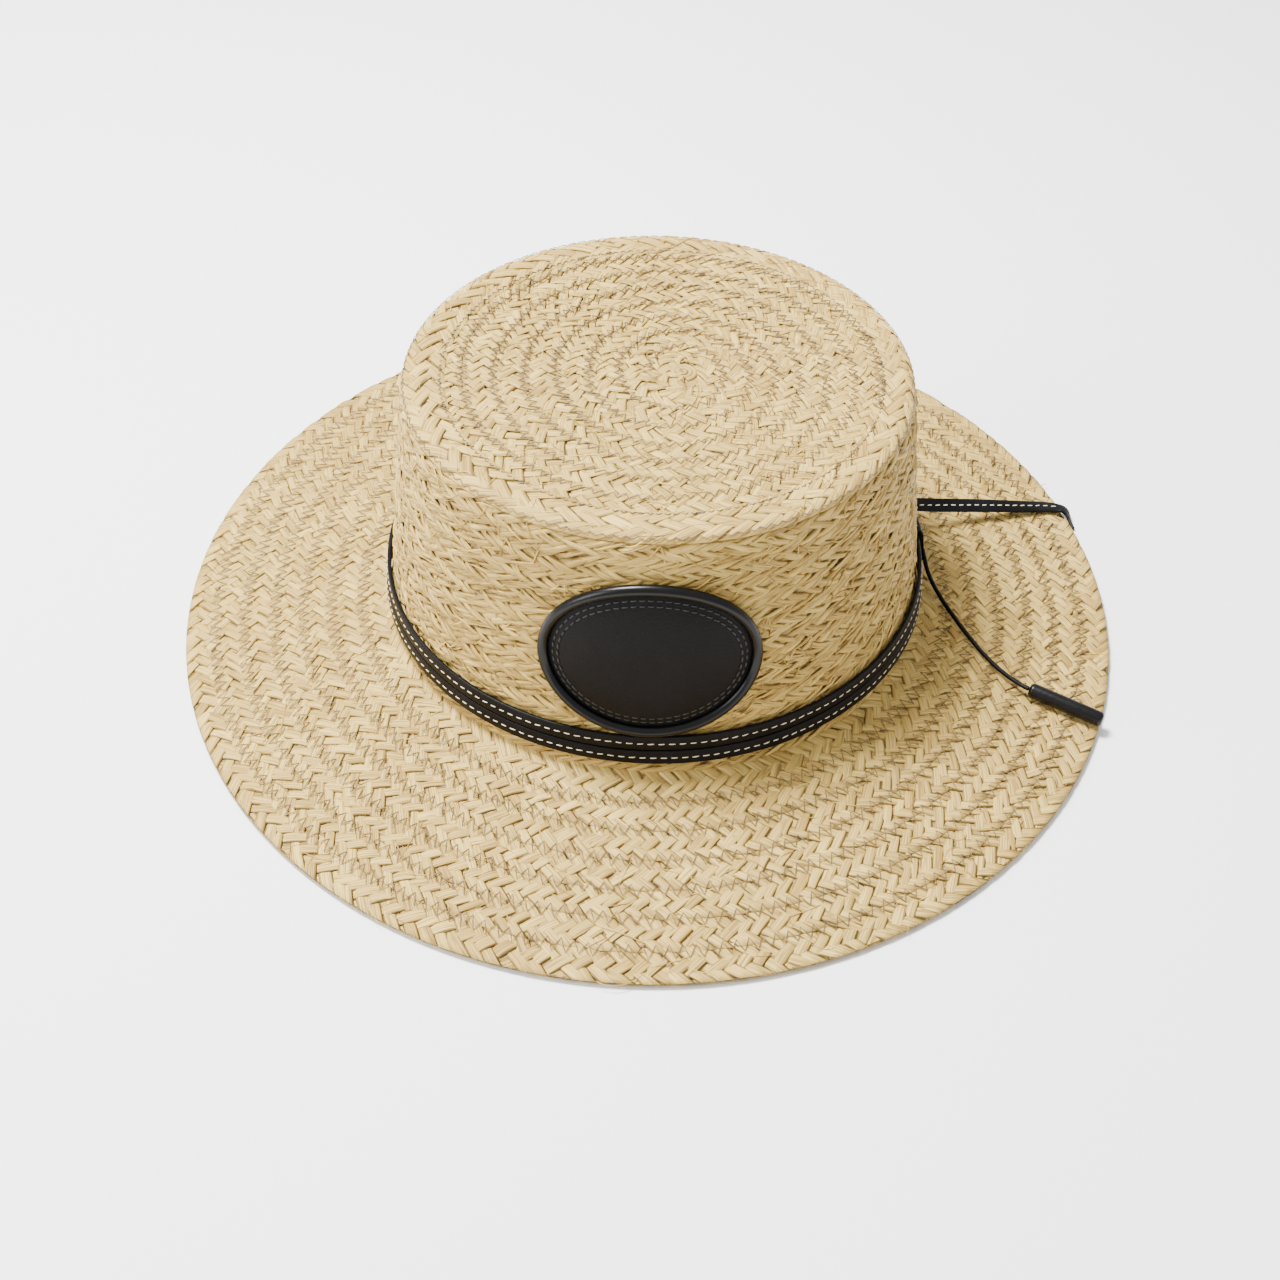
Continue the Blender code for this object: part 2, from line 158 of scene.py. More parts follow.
# Each leather's worn colour, roughness, grain per metre, grain depth and polish.
LEATHERS = {
    "strap_leather": ((0.008, 0.007, 0.008), 0.42, 1300.0, 0.00012, 0.0),
    "keeper_leather": ((0.008, 0.007, 0.008), 0.38, 1300.0, 0.00012, 0.0),
    "tail_leather": ((0.008, 0.007, 0.008), 0.42, 1300.0, 0.00012, 0.0),
    "lace_leather": ((0.008, 0.007, 0.008), 0.42, 1500.0, 0.0001, 0.0),
    "tip_leather": ((0.007, 0.006, 0.007), 0.36, 900.0, 0.00006, 0.2),
    "patch_leather": ((0.007, 0.006, 0.0065), 0.5, 1100.0, 0.00016, 0.0),
    "piping_leather": ((0.004, 0.0036, 0.004), 0.30, 1500.0, 0.00005, 0.25),
}

# The section of a strip: share of its half width, and share of its fullness.
STRIP_SECTION = ((-1.0, 0.0), (-0.5, 1.0), (0.45, 1.0), (1.0, 0.0))


def oval(angle, half_width, half_length, centre_x, centre_y, height):
    """Points on level ovals."""
    across = centre_x + half_width * np.cos(angle)
    along = centre_y + half_length * np.sin(angle)
    return np.stack(np.broadcast_arrays(across, along, height), axis=-1)


def wall_place(angle, height, out):
    """Points on the crown's wall, at a height above the brim's root and standing out from the wall."""
    share = height / CROWN_HEIGHT
    half_width = CROWN_BASE[0] + (CROWN_TOP[0] - CROWN_BASE[0]) * share + out
    half_length = CROWN_BASE[1] + (CROWN_TOP[1] - CROWN_BASE[1]) * share + out
    return oval(angle, half_width, half_length, CROWN_SHIFT, 0.0, ROOT + height)


def brim_place(angle, reach, lift):
    """Points over the brim's upper surface, at a share of its width out from the crown."""
    half_width = CROWN_BASE[0] + BRIM_REACH[0] * reach
    half_length = CROWN_BASE[1] + BRIM_REACH[1] * reach
    height = ROOT - BRIM_DROP * reach + lift
    return oval(angle, half_width, half_length, CROWN_SHIFT * (1 - reach), 0.0, height)


def top_place(angle, inset, lift):
    """Points over the crown's dished top, whose rings drift towards the eye of its spiral."""
    past_rim = np.clip((inset - RIM_ROW) / (TOP_PITCH * TOP_ROWS), 0.0, 1.0)
    on_rim = np.clip((inset - SHOULDER) / (RIM_ROW - SHOULDER), 0.0, 1.0)
    drop = RIM_DIP * on_rim + TOP_DISH * np.sin(math.pi / 2 * past_rim)
    drift = inset / CROWN_TOP[0]
    half_width = np.maximum(CROWN_TOP[0] - inset, 0.0)
    half_length = np.maximum(CROWN_TOP[1] - inset, 0.0)
    centre_x = CROWN_SHIFT + SPIRAL_SHIFT[0] * drift
    height = ROOT + CROWN_HEIGHT - drop + lift
    return oval(angle, half_width, half_length, centre_x, SPIRAL_SHIFT[1] * drift, height)


def rim_place(angle, across, lift):
    """Points over the rim row, which rolls from the wall over the shoulder on to the top."""
    distance = across + SHOULDER * 0.3
    turn = np.clip(distance / SHOULDER, 0.0, math.pi / 2)
    past = np.maximum(distance - SHOULDER * math.pi / 2, 0.0)
    inset = SHOULDER - (SHOULDER + lift) * np.cos(turn) + past
    sunk = SHOULDER - SHOULDER * np.sin(turn)
    return top_place(angle, inset, lift * np.sin(turn) - sunk)


def smooth_curve(points, steps):
    """A Catmull-Rom curve through the points, with steps pieces between each pair."""
    points = np.asarray(points, float)
    ends = np.vstack([2 * points[0] - points[1], points, 2 * points[-1] - points[-2]])
    share = (np.arange(steps) / steps)[:, None]
    curve = []
    for before, start, stop, after in zip(ends, ends[1:], ends[2:], ends[3:]):
        bend = before * 2 - start * 5 + stop * 4 - after
        twist = start * 3 - before - stop * 3 + after
        curve.append(start + (stop - before) * share / 2 + bend * share ** 2 / 2 + twist * share ** 3 / 2)
    return np.vstack(curve + [points[-1:]])


def ring_faces(rings, sides, closed=False):
    """Faces between rings of points, with a cap on each end of an open run."""
    count = rings if closed else rings - 1
    ring = np.arange(count)[:, None] * sides
    side = np.arange(sides)[None, :]
    after = (side + 1) % sides
    onward = (ring + sides) % (rings * sides)
    quads = np.stack([ring + side, ring + after, onward + after, onward + side], axis=-1).reshape(-1, 4)
    if closed:
        return [quads]
    last = (rings - 1) * sides
    return [quads, np.array([np.arange(sides)[::-1], last + np.arange(sides)])]


def run_along(points):
    """The length of a line of points up to each of them."""
    return np.concatenate([[0.0], np.cumsum(np.linalg.norm(np.diff(points, axis=0), axis=1))])


def at_runs(places, run, points):
    """The points of a line at these lengths along it."""
    return np.stack([np.interp(places, run, points[:, axis]) for axis in range(3)], axis=-1)


def unit(vectors):
    return vectors / np.maximum(np.linalg.norm(vectors, axis=-1, keepdims=True), 1e-12)


class Bundle:
    """Many small closed shapes gathered into one mesh, with where each point lies on its strip."""

    def __init__(self):
        self.points = []
        self.faces = []
        self.strands = []
        self.total = 0

    def add(self, points, faces, strands=None):
        """points is shapes x points x 3, and every shape has the same faces."""
        shapes, size = points.shape[:2]
        if strands is None:
            strands = np.zeros_like(points)
        offsets = np.arange(shapes)[:, None, None] * size
        volume = 0.0
        for group in faces:
            corners = points[:, group] - points.mean(axis=1)[:, None, None]
            for step in range(1, group.shape[1] - 1):
                turned = np.cross(corners[:, :, step], corners[:, :, step + 1])
                volume += (corners[:, :, 0] * turned).sum()
        for group in faces:
            outward = group if volume > 0 else group[:, ::-1]
            everywhere = (outward[None] + offsets).reshape(-1, group.shape[1]) + self.total
            self.faces.extend(everywhere.tolist())
        self.points.append(points.reshape(-1, 3))
        self.strands.append(strands.reshape(-1, 3))
        self.total += shapes * size

    def build(self, name, finish, crease=None):
        mesh = bpy.data.meshes.new(name)
        mesh.from_pydata(np.vstack(self.points).tolist(), [], self.faces)
        strand = mesh.attributes.new("strand", "FLOAT_VECTOR", "POINT")
        strand.data.foreach_set("vector", np.vstack(self.strands).astype(np.float32).ravel())
        mesh.shade_smooth()
        if crease is not None:
            mesh.set_sharp_from_angle(angle=math.radians(crease))
        mesh.materials.append(finish)
        piece = bpy.data.objects.new(name, mesh)
        bpy.context.scene.collection.objects.link(piece)
        return piece


def tube(points, radius, sides, closed=False):
    """A round tube along points, as points and faces for a bundle."""
    if closed:
        along = np.roll(points, -1, axis=0) - np.roll(points, 1, axis=0)
    else:
        along = np.gradient(points, axis=0)
    along = unit(along)
    side = unit(np.cross(along, (0.0, 0.0, 1.0)))
    over = np.cross(side, along)
    turn = np.linspace(0.0, 2 * math.pi, sides, endpoint=False)[None, :, None]
    radius = np.broadcast_to(radius, len(points))[:, None, None]
    ring = points[:, None] + radius * (np.cos(turn) * side[:, None] + np.sin(turn) * over[:, None])
    return ring.reshape(1, -1, 3), ring_faces(len(points), sides, closed)


def plait(bundle, place, angles, width, columns, strip, lean, rise, fullness, uneven, seed):
    """A flat plait along one row. place(angle, across, lift) gives its points, across running from 0 to
    width. Strips of one family start from the row's near edge and those of the other from its far edge, and
    the two take turns on top from column to column."""
    rng = np.random.default_rng(seed)
    grid = np.linspace(angles[0], angles[1], 1600)
    run = run_along(place(grid, width / 2, 0.0))
    whole = abs(angles[1] - angles[0] - 2 * math.pi) < 1e-9
    count = max(4, round(run[-1] * math.sin(lean) / strip))
    crossings = [column / columns for column in range(1, columns)]
    body = [0.12, 1.0] + [crossing + shift for crossing in crossings for shift in (-0.045, 0.045)]
    body += [(column + 0.5) / columns for column in range(1, columns)]
    fold = np.array(STRIP_FOLD)
    share = np.concatenate([fold[:, 0], sorted(body)])
    turn = np.concatenate([np.ones(len(fold)), [0.5], np.zeros(len(body) - 2), [1.0]])
    section = np.array(STRIP_SECTION)
    faces = ring_faces(len(share), len(section))
    for family, shift in ((1, 0.0), (-1, 0.5)):
        begin = (np.arange(count) + shift + rng.uniform(-0.16, 0.16, count) * uneven) * run[-1] / count
        angle = lean * np.exp(rng.normal(0.0, 0.10, count) * uneven)
        half = strip / 2 * rng.uniform(1.08 - 0.12 * uneven, 1.14 + 0.2 * uneven, count)
        tilt = 0.30 + rng.normal(0.0, 0.30, count) * uneven
        high = 1.0 + rng.uniform(-0.35, 0.45, count) * uneven
        full = fullness * (1.0 + rng.uniform(-0.4, 0.5, count) * uneven)
        into = share[None] * width + 0.0 * begin[:, None]
        back = np.where(np.arange(len(share)) == 0, -1.0, 1.0)
        bow = rng.normal(0.0, 0.16, count)[:, None] * np.sin(math.pi * np.clip(share, 0, 1)) * strip * uneven
        along = begin[:, None] + back * np.maximum(into, 0.0) / np.tan(angle)[:, None] + bow
        across = into if family > 0 else width - into
        wander = rng.normal(0.0, 0.03, count)[:, None] * uneven
        on_top = np.full(into.shape, float(family))
        for crossing in crossings:
            on_top = on_top * np.clip((crossing + wander - across / width) / 0.075, -1.0, 1.0)
        edge = on_top[:, len(fold)]
        on_top[:, :len(fold)] = fold[None, :, 1] * np.sign(edge)[:, None]
        face = np.zeros_like(into)
        face[:, :len(fold)] = np.radians(fold[None, :, 2]) * np.sign(edge)[:, None]
        face = face[:, :, None]
        sine = np.sin(angle)[:, None] * (1 - turn) + turn / np.sin(angle)[:, None]
        cosine = np.cos(angle)[:, None] * (1 - turn)
        breadth = half[:, None, None] * section[None, None, :, 0]
        puff = full[:, None, None] * section[None, None, :, 1]
        s = along[:, :, None] - family * breadth * sine[:, :, None]
        v = across[:, :, None] + breadth * cosine[:, :, None] - family * puff * np.sin(face)
        level = rise * high[:, None] * on_top
        lean_over = tilt[:, None, None] * np.cos(face) * rise * section[None, None, :, 0]
        lift = level[:, :, None] + puff * np.cos(face) + lean_over
        where = np.interp(np.mod(s, run[-1]) if whole else s, run, grid)
        points = place(where, v, lift)
        tone = rng.beta(2.0, 2.0, count)[:, None, None]
        reach = s - begin[:, None, None] + 37.0 * tone
        strands = np.stack([reach, section[None, None, :, 0] + 0 * s, tone + 0 * s], axis=-1)
        bundle.add(points.reshape(count, -1, 3), faces, strands.reshape(count, -1, 3))


def wisps(bundle, place, angles, width, count, length, radius, lift, seed):
    """Thin loose fibres that lie askew over a row."""
    rng = np.random.default_rng(seed)
    grid = np.linspace(angles[0], angles[1], 1600)
    run = run_along(place(grid, width / 2, 0.0))
    for _ in range(count):
        reach = length * rng.uniform(0.4, 1.3)
        heading = rng.normal(0.0, 0.5) + rng.choice((-0.5, 0.5))
        share = np.linspace(-0.5, 0.5, 6)
        swerve = rng.normal(0.0, 0.12) * reach
        along = rng.uniform(0.0, run[-1]) + share * reach * math.cos(heading)
        across = rng.uniform(0.0, width) + share * reach * math.sin(heading) + swerve * (1 - 4 * share ** 2)
        high = lift + rng.uniform(-0.0001, 0.00012) + rng.uniform(0.0, 0.0003) * (1 - 4 * share ** 2)
        high[-1] += rng.choice((0.0, 0.0, 0.0004))
        where = np.interp(np.clip(along, 0.0, run[-1]), run, grid)
        thick = radius * rng.uniform(0.6, 1.5) * np.array((0.4, 0.9, 1.0, 1.0, 0.9, 0.4))
        points, faces = tube(place(where, across, high), thick, 3)
        tone = rng.uniform(0.0, 1.0)
        strands = np.zeros_like(points)
        strands[..., 0] = np.repeat(along, 3) + 37.0 * tone
        strands[..., 2] = tone
        bundle.add(points, faces, strands)


def sway(angle, row):
    """How far a seam wanders from its even line, in metres."""
    return 0.0003 * np.sin(3 * angle + 1.9 * row) + 0.0002 * np.sin(8 * angle - 2.7 * row)


def brim_row(row, overlap):
    """The place of one brim row, whose inner edge lies under the row inside it."""
    def place(angle, across, lift):
        out = across - overlap
        reach = (row + out / BRIM_PITCH) / BRIM_ROWS
        meander = sway(angle, reach * BRIM_ROWS) * np.clip(8 * reach * (1 - reach), 0.0, 1.0) / BRIM_REACH[0]
        step = BRIM_STEP * (1 - out / BRIM_PITCH) if row else 0.0
        fillet = FOOT_FLARE * np.exp(-np.maximum(reach, 0.0) * BRIM_REACH[0] / FOOT_FLARE)
        return brim_place(angle, reach + meander, lift - PLAIT_SINK - step + fillet)
    return place


def wall_row(row):
    """The place of one row of the crown's wall, rounded between its two seams."""
    def place(angle, across, lift):
        share = across / WALL_PITCH
        height = WALL_FOOT + (row + share) * WALL_PITCH
        level = height + sway(angle, row + share) * np.clip(height / 0.02, 0.0, 1.0)
        flare = FOOT_FLARE * np.exp(-height / FOOT_FLARE)
        out = lift - WALL_SINK - 0.0006 * (2 * share - 1) ** 2 + flare
        return wall_place(angle, level, out)
    return place


def spiral_row(overlap):
    """The place of the top's one long plait, which winds inwards under its own outer turn."""
    def place(angle, across, lift):
        into = across - overlap
        inset = RIM_ROW + (angle / (2 * math.pi) - 1) * TOP_PITCH + into
        meander = sway(angle, inset / TOP_PITCH) * np.clip((CROWN_TOP[0] - inset) / 0.03, 0.0, 1.0)
        step = TOP_STEP * (1 - into / TOP_PITCH)
        return top_place(angle, inset + meander, lift - 0.0006 - step)
    return place


def rim_row(angle, across, lift):
    return rim_place(angle, across, lift - PLAIT_SINK)


def zigzag(bundle, place, angles, centre, height, period, radius, lifts, seed):
    """A thread that runs in a zigzag over a seam. lifts are its free heights at its near and far points."""
    rng = np.random.default_rng(seed)
    grid = np.linspace(angles[0], angles[1], 2400)
    run = run_along(place(grid, centre, 0.0))
    legs = 2 * max(4, round(run[-1] / period))
    closed = abs(angles[1] - angles[0] - 2 * math.pi) < 1e-9
    step = np.arange(legs * 2) if closed else np.arange(legs * 2 + 1)
    swing = np.array([-1.0, 0.0, 1.0, 0.0])[step % 4]
    jitter = rng.normal(0.0, 0.07, (3, len(step)))
    along = (step + jitter[0]) * run[-1] / (legs * 2)
    across = centre + swing * height / 2 * (1 + jitter[1]) + jitter[2] * height * 0.12
    low, high = lifts
    lift = low + (high - low) * (swing + 1) / 2 + np.where(swing == 0, 0.0002, 0.0)
    where = np.interp(np.mod(along, run[-1]) if closed else along, run, grid)
    bundle.add(*tube(place(where, across, lift), radius, 4, closed))


def level_rings(bundle, stations, segments=208):
    """A closed sheet through level rings; stations are a function of place, its row's share and its lift."""
    angle = np.linspace(0.0, 2 * math.pi, segments, endpoint=False)
    rings = np.stack([place(angle, at, lift) for place, at, lift in stations])
    bundle.add(rings.reshape(1, -1, 3), ring_faces(len(stations), segments, closed=True))


class Value:
    """A number, colour or vector from a node of a finish. Sums and products of it add Math nodes."""

    def __init__(self, finish, socket):
        self.finish = finish
        self.socket = socket

    def _maths(self, operation, first, second):
        return self.finish.node("ShaderNodeMath", {"operation": operation}, {0: first, 1: second})

    def __add__(self, other):
        return self._maths("ADD", self, other)

    def __sub__(self, other):
        return self._maths("SUBTRACT", self, other)

    def __mul__(self, other):
        return self._maths("MULTIPLY", self, other)

    def size(self):
        """The value without its sign."""
        return self.finish.node("ShaderNodeMath", {"operation": "ABSOLUTE"}, {0: self})


class Finish:
    """A procedural material in the making."""

    def __init__(self, name):
        self.material = bpy.data.materials.new(name)
        self.material.use_nodes = True
        self.tree = self.material.node_tree
        self.shader = self.tree.nodes["Principled BSDF"]

    def node(self, kind, settings, inputs, output=0):
        """Adds a node: its settings first, then the values or links of its sockets."""
        made = self.tree.nodes.new(kind)
        for name, value in settings.items():
            if name == "stops":
                ramp = made.color_ramp
                while len(ramp.elements) < len(value):
                    ramp.elements.new(1.0)
                for stop, (position, colour) in zip(ramp.elements, value):
                    stop.position = position
                    stop.color = (*colour, 1.0)
            else:
                setattr(made, name, value)
        for name, value in inputs.items():
            if isinstance(value, Value):
                self.tree.links.new(value.socket, made.inputs[name])
            else:
                made.inputs[name].default_value = value
        return Value(self, made.outputs[output])

    def mix(self, factor, first, second):
        """A colour between two colours."""
        pair = [colour if isinstance(colour, Value) else (*colour, 1.0) for colour in (first, second)]
        settings = {"data_type": "RGBA", "clamp_factor": True}
        return self.node("ShaderNodeMix", settings, {0: factor, 6: pair[0], 7: pair[1]}, 2)

    def between(self, value, low, high, first=0.0, last=1.0):
        """A value from low to high spread evenly over first to last, and held there."""
        ends = {"From Min": low, "From Max": high, "To Min": first, "To Max": last}
        return self.node("ShaderNodeMapRange", {"clamp": True}, {"Value": value, **ends})

    def noise(self, place, scale, detail=2.0, roughness=0.5):
        return self.node("ShaderNodeTexNoise", {}, {"Vector": place, "Scale": scale, "Detail": detail,
                                                   "Roughness": roughness})

    def place(self):
        """Where a point is on the hat, in metres."""
        return self.node("ShaderNodeTexCoord", {}, {}, "Object")

    def strand(self):
        """Where a point is on its own strip: metres along, metres across, and the strip's tone."""
        attribute = {"attribute_type": "GEOMETRY", "attribute_name": "strand"}
        return self.node("ShaderNodeAttribute", attribute, {}, "Vector")

    def stretched(self, vector, scale):
        return self.node("ShaderNodeVectorMath", {"operation": "MULTIPLY"}, {0: vector, 1: scale})

    def axis(self, vector, name):
        return self.node("ShaderNodeSeparateXYZ", {}, {0: vector}, name)

    def bump(self, height, distance, strength=1.0):
        sizes = {"Strength": strength, "Distance": distance, "Height": height}
        return self.node("ShaderNodeBump", {}, sizes)

    def give(self, name, value):
        """Sets or links one socket of the finish's own shader."""
        socket = self.shader.inputs[name]
        if isinstance(value, Value):
            self.tree.links.new(value.socket, socket)
        elif isinstance(value, tuple):
            socket.default_value = (*value, 1.0)
        else:
            socket.default_value = value


def raffia_finish(name, pale, deep, shade_and_stain):
    """Dried raffia strips: each has its own tone, fine fibres along it and darker worn places, with painted
    shade along each strip's edges and in its split grooves.
    """
    finish = Finish(name)
    strand = finish.strand()
    place = finish.place()
    tone = finish.axis(strand, "Z")
    across = finish.axis(strand, "Y")
    fine = finish.noise(finish.stretched(strand, (55.0, 7.0, 0.0)), 1.0, 2.0, 0.6)
    split = finish.noise(finish.stretched(strand, (40.0, 2.4, 0.0)), 1.0, 1.0, 0.5)
    groove = finish.between((split - 0.5).size(), 0.0, 0.035, 1.0, 0.0)
    edge = finish.between(across.size(), 0.72, 1.0)
    cloud = finish.noise(place, 38.0, 3.0, 0.55)
    body = finish.mix(finish.between(tone * 0.8 + fine * 0.4, 0.25, 0.95), pale, deep)
    body = finish.mix(finish.between(fine, 0.50, 0.72) * 0.45, body, shade_and_stain)
    # Painted shade: the split grooves and each strip's edges are darkened towards the shade colour, standing
    # in for the shade in and between the strips.
    body = finish.mix(groove * 0.55, body, shade_and_stain)
    body = finish.mix(edge * 0.35, body, shade_and_stain)
    body = finish.mix(finish.between(cloud, 0.58, 0.76) * 0.3, body, deep)
    age = finish.between(finish.noise(place, 240.0, 2.0, 0.6), 0.68, 0.80)
    body = finish.mix(age * 0.5, body, shade_and_stain)
    finish.give("Base Color", body)
    finish.give("Roughness", finish.between(fine, 0.3, 0.7, 0.50, 0.70))
    finish.give("Normal", finish.bump(fine * 0.8 - groove * 0.9, 0.0003, 0.8))
    finish.give("Specular IOR Level", 0.35)
    return finish.material


def gap_shade_finish():
    """Painted shade: the dark straw colour of the sheet that shows in the gaps between strips, in place of
    the shaded strips below.
    """
    finish = Finish("raffia_gap_shade")
    place = finish.place()
    grain = finish.noise(place, 900.0, 3.0, 0.6)
    # Painted shade: these colours are darker than any strip and stand in for shaded strips seen through the
    # gaps.
    finish.give("Base Color", finish.mix(grain, (0.20, 0.12, 0.035), (0.42, 0.28, 0.085)))
    finish.give("Roughness", 0.85)
    finish.give("Normal", finish.bump(grain, 0.0003, 0.6))
    return finish.material


def thread_finish(name, colour, deep, roughness):
    finish = Finish(name)
    place = finish.place()
    twist = finish.noise(place, 2600.0, 1.0, 0.5)
    finish.give("Base Color", finish.mix(twist, colour, deep))
    finish.give("Roughness", roughness)
    finish.give("Normal", finish.bump(twist, 0.0001, 0.5))
    return finish.material


def leather_finish(name, colour):
    """Black leather with a fine grain, faint wear and an uneven polish."""
    worn, roughness, grain_scale, grain_depth, coat = LEATHERS[name]
    finish = Finish(name)
    place = finish.place()
    grain = {"Vector": place, "Scale": grain_scale, "Smoothness": 0.6}
    cells = finish.node("ShaderNodeTexVoronoi", {"feature": "SMOOTH_F1"}, grain)
    fine = finish.noise(place, grain_scale * 1.7, 3.0, 0.6)
    patchy = finish.noise(place, 60.0, 3.0, 0.6)
    wear = finish.between(patchy * 0.6 + fine * 0.4, 0.45, 0.75)
    finish.give("Base Color", finish.mix(wear, colour, worn))
    polish = patchy * 0.5 + fine * 0.5
    finish.give("Roughness", finish.between(polish, 0.3, 0.7, roughness - 0.06, roughness + 0.1))
    finish.give("Normal", finish.bump(cells + fine * 0.5, grain_depth, 0.6))
    finish.give("Specular IOR Level", 0.11)
    finish.give("Coat Weight", coat)
    finish.give("Coat Roughness", 0.25)
    return finish.material


def deselect():
    bpy.ops.object.select_all(action="DESELECT")


def finish_piece(piece, slot, *nodes):
    """Says what a piece rides on and hides the solids it stands for; slot is not used."""
    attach(piece, "root")
    if nodes:
        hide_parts(*nodes)


def set_in_place(piece, place):
    """Moves each point of a mesh by a function of where it was, and leaves the object at the origin."""
    bpy.ops.object.transform_apply(location=True, rotation=True, scale=True)
    for vertex in piece.data.vertices:
        vertex.co = Vector(place(vertex.co))


def apply_modifier(piece, kind, **settings):
    modifier = piece.modifiers.new(kind.lower(), kind)
    for name, value in settings.items():
        setattr(modifier, name, value)
    bpy.context.view_layer.objects.active = piece
    bpy.ops.object.modifier_apply(modifier=modifier.name)


def smooth_faces(piece, name, finish, angle=35.0):
    piece.name = name
    piece.data.name = name
    piece.data.materials.clear()
    piece.data.materials.append(finish)
    bpy.ops.object.shade_smooth_by_angle(angle=math.radians(angle))


class StrawSizes(bpy.types.PropertyGroup):
    """Sizes and colours of the plaited straw."""
    brim_strip: bpy.props.FloatProperty(
        name="Brim strip", description="Width of a straw strip in the brim", default=0.0033, unit="LENGTH")
    wall_strip: bpy.props.FloatProperty(
        name="Wall strip", description="Width of a straw strip in the crown's wall",
        default=0.0020, unit="LENGTH")
    top_strip: bpy.props.FloatProperty(
        name="Top strip", description="Width of a straw strip in the crown's top",
        default=0.0029, unit="LENGTH")
    brim_lean: bpy.props.FloatProperty(
        name="Brim lean", description="Angle between a brim strip and its row", default=math.radians(43),
        subtype="ANGLE")
    wall_lean: bpy.props.FloatProperty(
        name="Wall lean", description="Angle between a wall strip and its row", default=math.radians(22),
        subtype="ANGLE")
    top_lean: bpy.props.FloatProperty(
        name="Top lean", description="Angle between a strip of the top and its row",
        default=math.radians(40),
        subtype="ANGLE")
    thread: bpy.props.FloatProperty(
        name="Thread", description="Diameter of the sewing thread", default=0.00034, unit="LENGTH")
    pale: bpy.props.FloatVectorProperty(
        name="Pale straw", description="Colour of the palest strips",
        default=(0.70, 0.49, 0.135), subtype="COLOR")
    deep: bpy.props.FloatVectorProperty(
        name="Deep straw", description="Colour of the deepest strips",
        default=(0.45, 0.285, 0.065), subtype="COLOR")
    # Used for painted shade at strip edges and in split grooves, and as the colour of dark fibre streaks and
    # worn places.
    shade: bpy.props.FloatVectorProperty(
        name="Fibre shade", description="Colour between fibres",
        default=(0.17, 0.095, 0.024), subtype="COLOR")


class TrimSizes(bpy.types.PropertyGroup):
    """Sizes and colours of the leather trim."""
    stitch_pitch: bpy.props.FloatProperty(
        name="Stitch pitch", description="Distance from one strap stitch to the next", default=0.0033,
        unit="LENGTH")
    stitch_length: bpy.props.FloatProperty(
        name="Stitch length", description="Length of one strap stitch", default=0.0021, unit="LENGTH")
    patch_pitch: bpy.props.FloatProperty(
        name="Patch stitch pitch", description="Distance from one patch stitch to the next", default=0.0026,
        unit="LENGTH")
    leather: bpy.props.FloatVectorProperty(
        name="Leather", description="Colour of the leather",
        default=(0.0018, 0.0016, 0.0018), subtype="COLOR")
    stitch: bpy.props.FloatVectorProperty(
        name="Stitch", description="Colour of the strap's stitches",
        default=(0.88, 0.82, 0.68), subtype="COLOR")


class StageSizes(bpy.types.PropertyGroup):
    """Light and floor."""
    key: bpy.props.FloatProperty(
        name="Key light", description="Power of the key light", default=50.0, unit="POWER")
    fill: bpy.props.FloatProperty(
        name="Sky", description="Strength of the even light all round", default=1.0)
    floor: bpy.props.FloatVectorProperty(
        name="Floor", description="Colour of the floor", default=(0.97, 0.97, 0.97), subtype="COLOR")


class HAT_OT_stage(bpy.types.Operator):
    """Add the camera, the pale floor and the soft lights"""
    bl_idname = "hat.stage"
    bl_label = "Stage"

    def execute(self, context):
        sizes = context.scene.hat_stage
        deselect()
        bpy.ops.object.camera_add(location=(-0.00288, -0.62003, 0.51574))
        camera = context.object
        turned = Matrix.Rotation(math.radians(50.81), 3, "X") @ Matrix.Rotation(math.radians(0.93), 3, "Z")
        camera.rotation_euler = turned.to_euler()
        camera.data.sensor_width = 36.0
        camera.data.lens = 65.77
        camera.data.shift_y = -0.047
        camera.data.clip_start = 0.01
        context.scene.camera = camera
        bpy.ops.mesh.primitive_plane_add(size=12.0, location=(0.0, 0.0, -0.0002))
        floor = context.object
        floor.name = "floor"
        finish = Finish("floor_paper")
        finish.give("Base Color", tuple(sizes.floor))
        finish.give("Roughness", 0.9)
        floor.data.materials.append(finish.material)
        world = bpy.data.worlds.new("studio")
        context.scene.world = world
        world.use_nodes = True
        sky = world.node_tree.nodes["Background"]
        sky.inputs["Color"].default_value = (1.0, 1.0, 1.0, 1.0)
        sky.inputs["Strength"].default_value = sizes.fill
        self.lamp("key_light", (-0.34, 0.14, 1.1), 0.34, sizes.key)
        self.lamp("side_light", (-1.1, -0.5, 0.7), 0.7, sizes.key * 0.3)
        return {"FINISHED"}

    def lamp(self, name, place, size, power):
        """A square soft light aimed at the hat."""
        bpy.ops.object.light_add(type="AREA", location=place)
        lamp = bpy.context.object
        lamp.name = name
        lamp.data.size = size
        lamp.data.energy = power
        aim = Vector((0.0, 0.0, 0.04)) - Vector(place)
        lamp.rotation_euler = aim.to_track_quat("-Z", "Y").to_euler()


